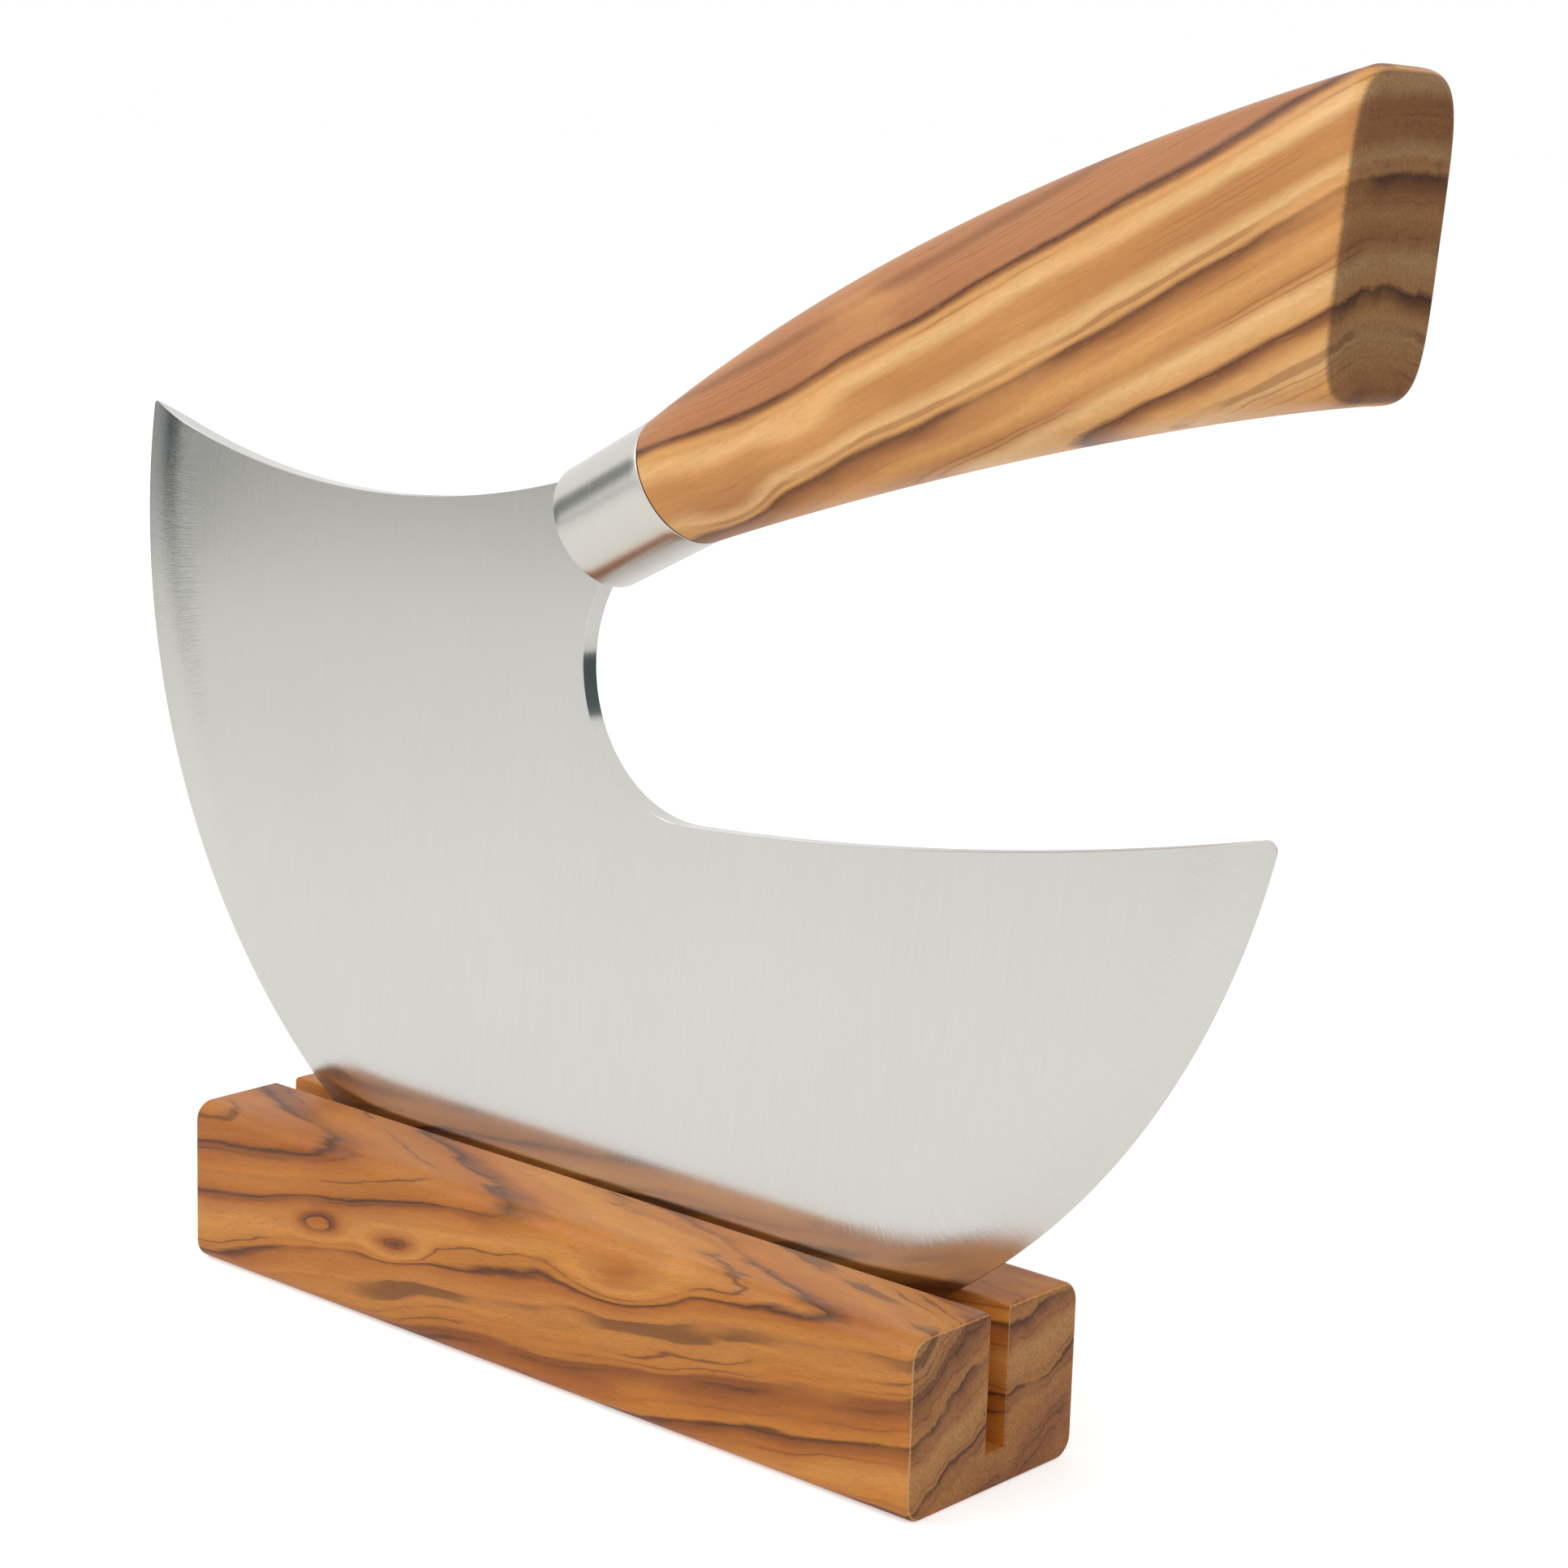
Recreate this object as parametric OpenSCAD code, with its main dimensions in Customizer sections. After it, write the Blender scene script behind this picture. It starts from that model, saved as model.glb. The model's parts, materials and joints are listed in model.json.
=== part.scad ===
// Single-handled mezzaluna standing in its slotted wooden block.
// X runs along the blade towards the handle, Y away from the viewer, Z up.
// The origin is the middle of the block's bottom face.

/* [Block] */
// Length of the wooden block
stand_l = 150; // [135:1:180]
// Width of the block, front to back
stand_w = 36.5; // [30:0.5:50]
// Height of the block
stand_h = 26.3; // [20:0.1:34]
// Rounding of the four long edges
stand_edge_r = 3; // [1:0.5:4]
// Rounding of the four upright corners
stand_corner_r = 1; // [0.5:0.5:4]
// Rounding of the edges at the two ends
stand_end_r = 1; // [0.5:0.5:3]
// Width of the sawn slot
slot_w = 4.4; // [3.8:0.1:6]
// Distance of the slot's middle behind the block's middle
slot_back = 0.6; // [-2:0.1:2]
// Wood left under the slot
slot_floor = 5.5; // [4:0.1:9]

/* [Blade] */
// Radius of the round cutting edge
blade_r = 115; // [100:1:125]
// Thickness of the blade sheet
blade_t = 3; // [2:0.1:3.2]
// Width of the ground bevel along the edge
bevel_w = 6.5; // [3:0.5:10]
// Thickness left at the cutting edge
edge_t = 0.3; // [0.2:0.1:0.6]
// Radius of the hollow spine left of the handle
spine_r = 160; // [140:5:200]
// Height of the spine's lowest point above the edge's centre
spine_z = 4.3; // [0:0.1:8]
// Radius of the finger recess behind the neck
recess_r = 22; // [18:0.5:26]
// Depth of the recess below the edge's centre
recess_z = 37.5; // [30:0.5:45]
// Radius of the long top edge of the right wing
wing_r = 520; // [400:10:700]
// Slope of that top edge where it leaves the recess, in degrees
wing_slope = 3; // [0:0.5:6]
// Rounding of the right tip
tip_r = 1.5; // [0.5:0.5:3]
// Height of the neck above the handle's axis
neck_top = 8; // [6:0.1:9]
// Height of the neck below the handle's axis
neck_low = 7; // [5:0.1:9]
// Height of the tang inside the handle
tang_h = 9; // [6:0.5:9]
// Length of the tang from the neck
tang_l = 64; // [40:1:90]

/* [Knife's place] */
// Distance of the blade's middle to the right of the block's middle
blade_x = 0.5; // [-8:0.5:8]
// Distance of the cutting edge in front of the slot's middle
edge_front = 0.3; // [0:0.1:0.5]
// Room between the blade's back and the slot's back rim
lean_gap = 0.15; // [0.1:0.05:0.5]
// Room between the cutting edge and the slot's floor
seat_gap = 0.2; // [0.1:0.1:0.5]

/* [Ferrule] */
// Slope of the ferrule, in degrees
neck_angle = 27.5; // [20:0.5:32]
// Place of the ferrule's face along the blade, from the edge's centre
neck_x = -9.3; // [-14:0.1:-4]
// Height of the ferrule's axis at its face, from the edge's centre
neck_z = 4; // [2:0.1:8]
// Length of the ferrule
ferrule_l = 18.8; // [14:0.1:26]
// Radius of the ferrule at the blade
ferrule_r = 9.7; // [9.2:0.1:11]
// Radius of the ferrule at the wood
ferrule_wood_r = 10; // [9.4:0.1:12]
// Thickness of the ferrule's front wall
ferrule_front = 2.5; // [1.5:0.5:4]
// Thickness of the ferrule's sleeve at the wood
ferrule_wall = 1.3; // [0.8:0.1:2]
// Broken rim of the ferrule
ferrule_rim = 0.4; // [0.2:0.1:0.8]

/* [Handle] */
// Place of the butt's centre along the blade, from the edge's centre
butt_x = 122; // [110:0.5:135]
// Height of the butt's centre above the edge's centre
butt_z = 53.1; // [44:0.1:64]
// Slope at which the handle reaches its butt, in degrees
butt_slope = 12.5; // [5:0.5:20]
// Turn of the butt's face from upright, in degrees
butt_turn = -3.2; // [-8:0.1:6]
// Half the height of the butt
butt_half_h = 20.6; // [16:0.1:24]
// Half the thickness of the butt
butt_half_t = 11.8; // [10:0.1:15]
// Squareness of the butt's outline, where 2 is an oval
butt_square = 4.8; // [2:0.1:6]
// Squareness of the handle's outline halfway back
grip_square = 3; // [2:0.1:5]
// Rounding of the butt's rim
butt_rim = 2.2; // [1:0.1:4]
// Half the height of the handle a third of the way back
grip_half_h = 16.8; // [12:0.1:19]
// Half the height of the handle two thirds of the way back
palm_half_h = 18; // [15:0.1:22]
// Half the thickness of the handle a third of the way back
grip_half_t = 9.6; // [9:0.1:12]
// Half the thickness of the handle two thirds of the way back
palm_half_t = 11.9; // [10:0.1:14]
// Reach of the ferrule's direction into the handle's curve
lead_in = 51.2; // [30:0.1:60]
// Reach of the butt's direction into the handle's curve
lead_out = 23; // [12:1:40]
// Radius of the hole for the tang
bore_r = 5.5; // [5.2:0.1:6.5]
// Thickness of the resin between the ferrule and the wood
shoulder_gap = 0.3; // [0.2:0.1:0.6]
// Room between glued faces
glue_gap = 0.05; // [0.02:0.01:0.1]

/* [Hidden] */
$fn = 96;
beyond = 1;

// Corners of the neck where it meets the ferrule's face
neck_dir = [cos(neck_angle), sin(neck_angle)];
neck_up = [-sin(neck_angle), cos(neck_angle)];
neck_mid = [neck_x, neck_z];
neck_high = neck_mid + neck_top * neck_up;
neck_deep = neck_mid - neck_low * neck_up;

// The spine's circle passes through the neck's upper corner
spine_cz = spine_z + spine_r;
spine_cx = neck_high[0] - sqrt(spine_r * spine_r - pow(spine_cz - neck_high[1], 2));

// The recess passes through the neck's lower corner
recess_cz = recess_r - recess_z;
recess_cx = neck_deep[0] + sqrt(recess_r * recess_r - pow(neck_deep[1] - recess_cz, 2));

// The wing's top edge leaves the recess without a corner
wing_start = [recess_cx, recess_cz] + recess_r * [sin(wing_slope), -cos(wing_slope)];
wing_c = wing_start + wing_r * [-sin(wing_slope), cos(wing_slope)];

// The tip's rounding touches the cutting edge and the wing's top edge
tip_reach = blade_r - tip_r;
tip_span = wing_r + tip_r;
wing_far = norm(wing_c);
tip_along = (tip_reach * tip_reach - tip_span * tip_span + wing_far * wing_far) / (2 * wing_far);
tip_across = sqrt(tip_reach * tip_reach - tip_along * tip_along);
wing_way = wing_c / wing_far;
tip_c = tip_along * wing_way + tip_across * [wing_way[1], -wing_way[0]];
tip_on_edge = tip_c * blade_r / tip_reach;
tip_on_wing = wing_c + (tip_c - wing_c) * wing_r / tip_span;
tip_corner = tip_c + 3 * (tip_on_edge + tip_on_wing - 2 * tip_c);

// The blade leans back until it would touch the slot's back rim
slot_depth = stand_h - slot_floor;
lean_room = slot_w / 2 + edge_front - blade_t / 2 - lean_gap;
lean = atan(lean_room / slot_depth);
edge_y = slot_back - edge_front;

// Wooden spigot inside the ferrule and the resin round the tang
spigot_r = ferrule_r - ferrule_wall;
sleeve_r = spigot_r + glue_gap;
spigot_x = ferrule_front + glue_gap;
wood_x = ferrule_l + shoulder_gap;
bore_end = tang_l + 2;
tang_taper = 8;
tang_tip_h = 0.6 * tang_h;

// Stations of the handle's loft
rings = 22;
rim_rings = 4;
ring_points = 40;
rim_step = 90 / rim_rings;
wood_start = neck_mid + wood_x * neck_dir;
butt_dir = [cos(butt_turn), sin(butt_turn)];
butt_end = [butt_x, butt_z];
loft_end = butt_end - butt_rim * butt_dir;
path = [
    wood_start,
    wood_start + lead_in * neck_dir,
    loft_end - lead_out * [cos(butt_slope), sin(butt_slope)],
    loft_end,
];
half_h = [ferrule_wood_r, grip_half_h, palm_half_h, butt_half_h];
half_t = [ferrule_wood_r, grip_half_t, palm_half_t, butt_half_t];

// Value of a cubic curve with four control values
function curve(p, s) =
    pow(1 - s, 3) * p[0]
    + 3 * s * pow(1 - s, 2) * p[1]
    + 3 * s * s * (1 - s) * p[2]
    + s * s * s * p[3];

// Round at the ferrule, grip_square halfway back and butt_square at the butt
function squareness(s) =
    2
    + (grip_square - 2) * min(1, 2 * s)
    + (butt_square - grip_square) * max(0, 2 * s - 1);

function signed_pow(x, e) = sign(x) * pow(abs(x), e);

// One ring of the handle: an oval that squares up, in a plane turned by turn degrees
function ring(mid, turn, high, thick, square) = [
    for (i = [0 : ring_points - 1])
        let (
            a = 360 * i / ring_points,
            up = high * signed_pow(sin(a), 2 / square),
            out = thick * signed_pow(cos(a), 2 / square)
        )
        [mid[0] - up * sin(turn), out, mid[1] + up * cos(turn)]
];

function grip_ring(s) =
    ring(
        curve(path, s),
        neck_angle + (butt_turn - neck_angle) * s,
        curve(half_h, s),
        curve(half_t, s),
        squareness(s)
    );

function rim_ring(a) =
    let (inset = butt_rim * (1 - cos(a)))
    ring(
        loft_end + butt_rim * sin(a) * butt_dir,
        butt_turn,
        butt_half_h - inset,
        butt_half_t - inset,
        butt_square
    );

handle_rings = concat(
    [for (i = [0 : rings]) grip_ring(i / rings)],
    [for (k = [1 : rim_rings]) rim_ring(k * rim_step)]
);

module rounded_rect(w, h, r) {
    square([w - 2 * r, h], center = true);
    square([w, h - 2 * r], center = true);
    for (x = [-1, 1], y = [-1, 1]) {
        translate([x * (w / 2 - r), y * (h / 2 - r)]) circle(r = r);
    }
}

// Upright plate in the blade's plane, with its middle at Y = 0
module upright(t) {
    rotate([90, 0, 0]) linear_extrude(height = t, center = true) children();
}

// The knife's own frame has its origin at the centre of the round edge
module in_knife() {
    translate([blade_x, edge_y, slot_floor + seat_gap])
        rotate([-lean, 0, 0])
            translate([0, 0, blade_r])
                children();
}

// The neck's frame has X along the ferrule, from the ferrule's face
module on_neck() {
    in_knife()
        translate([neck_x, 0, neck_z])
            rotate([0, -neck_angle, 0])
                children();
}

module stand_block() {
    translate([0, 0, stand_h / 2]) intersection() {
        linear_extrude(height = stand_h, center = true)
            rounded_rect(stand_l, stand_w, stand_corner_r);
        rotate([90, 0, 90])
            linear_extrude(height = stand_l, center = true)
                rounded_rect(stand_w, stand_h, stand_edge_r);
        rotate([90, 0, 0])
            linear_extrude(height = stand_w, center = true)
                rounded_rect(stand_l, stand_h, stand_end_r);
    }
}

module stand() {
    color("peru") difference() {
        stand_block();
        translate([-stand_l / 2 - beyond, slot_back - slot_w / 2, slot_floor])
            cube([stand_l + 2 * beyond, slot_w, slot_depth + beyond]);
    }
}

// Everything right of the ferrule's face and above the recess's centre
module beyond_neck() {
    reach = 2 * blade_r;
    intersection() {
        translate(neck_mid) rotate(neck_angle)
            translate([0, -reach]) square([reach, 2 * reach]);
        translate([-reach, recess_cz]) square([2 * reach, reach]);
    }
}

module wing_cut() {
    intersection() {
        translate(wing_c) circle(r = wing_r, $fn = 720);
        translate([recess_cx, -blade_r]) square([2 * blade_r, 2 * blade_r]);
    }
}

module blade_outline() {
    difference() {
        circle(r = blade_r + beyond, $fn = 720);
        translate([spine_cx, spine_cz]) circle(r = spine_r, $fn = 360);
        translate([recess_cx, recess_cz]) circle(r = recess_r);
        beyond_neck();
        wing_cut();
        polygon([tip_c, tip_on_edge, tip_corner, tip_on_wing]);
    }
    translate(tip_c) circle(r = tip_r);
}

// Full thickness inside, thinned to the cutting edge on both faces
module ground_disc() {
    rotate([90, 0, 0]) rotate_extrude($fn = 720) polygon([
        [0, -blade_t / 2],
        [blade_r - bevel_w, -blade_t / 2],
        [blade_r, -edge_t / 2],
        [blade_r, edge_t / 2],
        [blade_r - bevel_w, blade_t / 2],
        [0, blade_t / 2],
    ]);
}

module tang_outline() {
    polygon([
        [-beyond, -tang_h / 2],
        [tang_l - tang_taper, -tang_h / 2],
        [tang_l, -tang_tip_h / 2],
        [tang_l, tang_tip_h / 2],
        [tang_l - tang_taper, tang_h / 2],
        [-beyond, tang_h / 2],
    ]);
}

module blade() {
    color("gainsboro") {
        in_knife() intersection() {
            ground_disc();
            upright(blade_t + beyond) blade_outline();
        }
        on_neck() upright(blade_t) tang_outline();
    }
}

module tang_slot(from, to) {
    translate([from, -blade_t / 2 - glue_gap, -tang_h / 2 - glue_gap])
        cube([to - from, blade_t + 2 * glue_gap, tang_h + 2 * glue_gap]);
}

module ferrule() {
    color("silver") on_neck() difference() {
        rotate([0, 90, 0]) rotate_extrude() polygon([
            [0, 0],
            [ferrule_r - ferrule_rim, 0],
            [ferrule_r, ferrule_rim],
            [ferrule_wood_r, ferrule_l - ferrule_rim / 2],
            [ferrule_wood_r - ferrule_rim / 2, ferrule_l],
            [sleeve_r, ferrule_l],
            [sleeve_r, ferrule_front],
            [0, ferrule_front],
        ]);
        tang_slot(-beyond, ferrule_front + beyond);
    }
}

module handle_loft() {
    last = len(handle_rings) - 1;
    points = [for (r = handle_rings) for (p = r) p];
    sides = [
        for (k = [0 : last - 1], i = [0 : ring_points - 1])
            let (
                j = (i + 1) % ring_points,
                a = k * ring_points,
                b = a + ring_points
            )
            [a + i, b + i, b + j, a + j]
    ];
    front = [for (i = [0 : ring_points - 1]) i];
    back = [for (i = [ring_points - 1 : -1 : 0]) last * ring_points + i];
    polyhedron(points, concat(sides, [front, back]));
}

module handle() {
    color("burlywood") difference() {
        union() {
            in_knife() handle_loft();
            on_neck() translate([spigot_x, 0, 0]) rotate([0, 90, 0])
                cylinder(r = spigot_r, h = wood_x - spigot_x + beyond);
        }
        on_neck() translate([spigot_x - beyond, 0, 0]) rotate([0, 90, 0])
            cylinder(r = bore_r, h = bore_end - spigot_x + beyond);
    }
}

module tang_resin() {
    color("saddlebrown") on_neck() {
        difference() {
            translate([spigot_x, 0, 0]) rotate([0, 90, 0])
                cylinder(r = bore_r - glue_gap, h = bore_end - spigot_x - glue_gap);
            tang_slot(spigot_x - beyond, tang_l + glue_gap);
        }
        translate([ferrule_l + glue_gap, 0, 0]) rotate([0, 90, 0]) difference() {
            cylinder(r = ferrule_wood_r - 2 * shoulder_gap / 3, h = shoulder_gap - 2 * glue_gap);
            translate([0, 0, -beyond]) cylinder(r = sleeve_r, h = shoulder_gap + 2 * beyond);
        }
    }
}

stand();
blade();
ferrule();
handle();
tang_resin();
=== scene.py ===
import json
import math
import bmesh
import bpy
import numpy as np
from mathutils import Matrix, Vector


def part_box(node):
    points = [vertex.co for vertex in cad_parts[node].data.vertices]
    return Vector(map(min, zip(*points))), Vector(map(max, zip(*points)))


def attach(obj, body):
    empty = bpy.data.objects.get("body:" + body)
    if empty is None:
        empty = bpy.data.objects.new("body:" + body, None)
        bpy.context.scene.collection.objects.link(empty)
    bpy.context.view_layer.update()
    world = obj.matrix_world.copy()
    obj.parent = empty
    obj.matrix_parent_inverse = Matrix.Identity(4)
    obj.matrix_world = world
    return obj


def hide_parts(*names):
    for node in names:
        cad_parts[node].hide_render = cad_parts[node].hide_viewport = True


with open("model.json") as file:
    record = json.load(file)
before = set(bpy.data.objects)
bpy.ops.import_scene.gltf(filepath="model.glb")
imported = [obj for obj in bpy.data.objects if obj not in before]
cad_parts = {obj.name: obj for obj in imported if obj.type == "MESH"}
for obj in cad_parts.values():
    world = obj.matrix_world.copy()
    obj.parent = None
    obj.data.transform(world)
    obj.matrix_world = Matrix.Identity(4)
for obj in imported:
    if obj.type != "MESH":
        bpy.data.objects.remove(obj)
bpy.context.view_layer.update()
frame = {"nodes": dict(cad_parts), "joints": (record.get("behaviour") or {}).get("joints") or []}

mm = 0.001
scene = bpy.context.scene
scene.view_settings.view_transform = "Standard"

# the knife's own plane: X along the blade, Y through the sheet, Z up the blade
knifePlace = {
    "middle": 0.5 * mm,       # right of the block's middle
    "edgeBack": 0.3 * mm,     # behind the block's middle
    "edgeHeight": 5.7 * mm,   # lowest point of the cutting edge
    "edgeRadius": 115 * mm,
}
bladeUp = Vector(frame["joints"][0]["axis"]).normalized()
bladeThrough = Vector((1, 0, 0)).cross(bladeUp) * -1
edgeCentre = (
    Vector((knifePlace["middle"], knifePlace["edgeBack"], knifePlace["edgeHeight"]))
    + knifePlace["edgeRadius"] * bladeUp
)


# helpers for meshes made of numpy grids

def inKnife(points):
    # turns points of the knife's own plane into the frame: x along, y through, z up the blade
    axes = np.array([(1, 0, 0), tuple(bladeThrough), tuple(bladeUp)])
    return points @ axes + np.array(edgeCentre)


def gridFaces(rows, columns, closed=True, start=0):
    # quads between neighbouring rows, joined round the last column when closed
    row = np.arange(rows - 1)[:, None]
    last = columns if closed else columns - 1
    col = np.arange(last)[None, :]
    nextCol = (col + 1) % columns
    a = row * columns + col
    b = row * columns + nextCol
    quads = np.stack([a, b, b + columns, a + columns], axis=-1)
    return (quads.reshape(-1, 4) + start).tolist()


def newPiece(name, points, faces, body, nodes, material, sharpAngle=35, marks=None):
    # marks are point attributes; seams are merged and the faces turned outwards
    mesh = bpy.data.meshes.new(name)
    mesh.from_pydata(points.tolist(), [], faces)
    for label, values in (marks or {}).items():
        layer = mesh.attributes.new(label, "FLOAT", "POINT")
        layer.data.foreach_set("value", np.asarray(values, dtype=np.float32))
    shell = bmesh.new()
    shell.from_mesh(mesh)
    bmesh.ops.remove_doubles(shell, verts=shell.verts, dist=1e-7)
    bmesh.ops.recalc_face_normals(shell, faces=shell.faces)
    shell.to_mesh(mesh)
    shell.free()
    mesh.shade_smooth()
    mesh.set_sharp_from_angle(angle=math.radians(sharpAngle))
    mesh.materials.append(material)
    piece = bpy.data.objects.new(name, mesh)
    scene.collection.objects.link(piece)
    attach(piece, body)
    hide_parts(*nodes)
    print("piece", name, len(mesh.polygons), "faces")
    return piece


# helpers for shader nodes

def put(tree, kind, inputs=None, **settings):
    node = tree.nodes.new(kind)
    for key, value in settings.items():
        setattr(node, key, value)
    for key, value in (inputs or {}).items():
        if isinstance(value, bpy.types.NodeSocket):
            tree.links.new(value, node.inputs[key])
        else:
            node.inputs[key].default_value = value
    return node


def calc(tree, operation, first, second=0.0, third=0.0, clamp=False):
    node = put(tree, "ShaderNodeMath", {0: first, 1: second, 2: third}, operation=operation)
    node.use_clamp = clamp
    return node.outputs[0]


def scaled(tree, vector, factors):
    node = put(tree, "ShaderNodeVectorMath", {0: vector, 1: factors}, operation="MULTIPLY")
    return node.outputs[0]


def noise(tree, vector, scale=1.0, detail=2.0, rough=0.5, warp=0.0):
    inputs = {"Vector": vector, "Scale": scale, "Detail": detail, "Roughness": rough, "Distortion": warp}
    return put(tree, "ShaderNodeTexNoise", inputs).outputs["Fac"]


def noiseAlong(tree, value, detail=2.0, rough=0.5):
    inputs = {"W": value, "Scale": 1.0, "Detail": detail, "Roughness": rough}
    return put(tree, "ShaderNodeTexNoise", inputs, noise_dimensions="1D").outputs["Fac"]


def stepBetween(tree, value, low, high):
    inputs = {"Value": value, "From Min": low, "From Max": high, "To Min": 0.0, "To Max": 1.0}
    node = put(tree, "ShaderNodeMapRange", inputs, interpolation_type="SMOOTHSTEP")
    return node.outputs[0]


def blendColour(tree, factor, first, second, blend="MIX"):
    node = put(tree, "ShaderNodeMix", {"Factor": factor}, data_type="RGBA", blend_type=blend)
    for socket, value in ((node.inputs[6], first), (node.inputs[7], second)):
        if isinstance(value, bpy.types.NodeSocket):
            tree.links.new(value, socket)
        else:
            socket.default_value = value
    return node.outputs[2]


def srgb(red, green, blue):
    def linear(level):
        level /= 255
        return level / 12.92 if level <= 0.04045 else ((level + 0.055) / 1.055) ** 2.4
    return (linear(red), linear(green), linear(blue), 1.0)


def newGroup(name, inputs, outputs):
    tree = bpy.data.node_groups.new(name, "ShaderNodeTree")
    for label, kind, value in inputs:
        socket = tree.interface.new_socket(label, in_out="INPUT", socket_type=kind)
        if value is not None:
            socket.default_value = value
    for label, kind in outputs:
        tree.interface.new_socket(label, in_out="OUTPUT", socket_type=kind)
    return tree, tree.nodes.new("NodeGroupInput").outputs, tree.nodes.new("NodeGroupOutput").inputs


floatSocket = "NodeSocketFloat"
vectorSocket = "NodeSocketVector"
colourSocket = "NodeSocketColor"


def oliveLayersGroup():
    # Layer is the distance from the pith in millimetres, pushed about by three sizes of noise
    # that are stretched along the grain, which runs along X. The other outputs run along X too.
    tree, given, out = newGroup(
        "oliveLayers",
        [
            ("Place", vectorSocket, None),
            ("Lift", floatSocket, 0.0),
            ("Pith Y", floatSocket, 0.0),
            ("Pith Z", floatSocket, -45.0),
            ("Swirl", floatSocket, 4.0),
            ("Ripple", floatSocket, 1.0),
        ],
        [("Layer", floatSocket), ("Patch", floatSocket), ("Streak", floatSocket),
         ("Fibre", floatSocket), ("Pore", floatSocket)],
    )
    place = given["Place"]
    broad = noise(tree, scaled(tree, place, (0.012, 0.050, 0.050)), detail=1.0)
    middle = noise(tree, scaled(tree, place, (0.040, 0.160, 0.160)), detail=1.0)
    small = noise(tree, scaled(tree, place, (0.100, 0.600, 0.600)), detail=2.0)
    apart = put(tree, "ShaderNodeSeparateXYZ", {0: place}).outputs
    across = calc(tree, "SUBTRACT", apart[1], given["Pith Y"])
    above = calc(tree, "SUBTRACT", apart[2], given["Pith Z"])
    squares = calc(tree, "MULTIPLY_ADD", across, across, calc(tree, "MULTIPLY", above, above))
    reach = calc(tree, "SQRT", squares)
    layer = calc(tree, "ADD", calc(tree, "ADD", reach, given["Pith Z"]), given["Lift"])
    layer = calc(tree, "MULTIPLY_ADD", calc(tree, "SUBTRACT", broad, 0.5), given["Swirl"], layer)
    layer = calc(tree, "MULTIPLY_ADD", calc(tree, "SUBTRACT", middle, 0.5),
                 calc(tree, "MULTIPLY", given["Swirl"], 0.5), layer)
    layer = calc(tree, "MULTIPLY_ADD", calc(tree, "SUBTRACT", small, 0.5), given["Ripple"], layer)
    tree.links.new(layer, out["Layer"])
    tree.links.new(noise(tree, scaled(tree, place, (0.030, 0.120, 0.120)), detail=2.0), out["Patch"])
    streak = noise(tree, scaled(tree, place, (0.055, 1.0, 1.0)), detail=3.0, rough=0.6)
    tree.links.new(streak, out["Streak"])
    fibre = noise(tree, scaled(tree, place, (0.50, 3.4, 3.4)), detail=4.0, rough=0.7)
    tree.links.new(fibre, out["Fibre"])
    pores = noise(tree, scaled(tree, place, (0.55, 4.5, 4.5)), detail=1.0)
    tree.links.new(stepBetween(tree, pores, 0.60, 0.72), out["Pore"])
    return tree


def rampOf(tree, value, low, high, stops):
    # colours at their own layers, in millimetres, with smooth blends between
    node = put(tree, "ShaderNodeValToRGB", {
        "Fac": calc(tree, "DIVIDE", calc(tree, "SUBTRACT", value, low), high - low),
    })
    elements = node.color_ramp.elements
    for i, (layer, colour) in enumerate(stops):
        spot = (layer - low) / (high - low)
        if i < 2:
            element = elements[i]
            element.position = spot
        else:
            element = elements.new(spot)
        element.color = colour
    return node.outputs["Color"]


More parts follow.
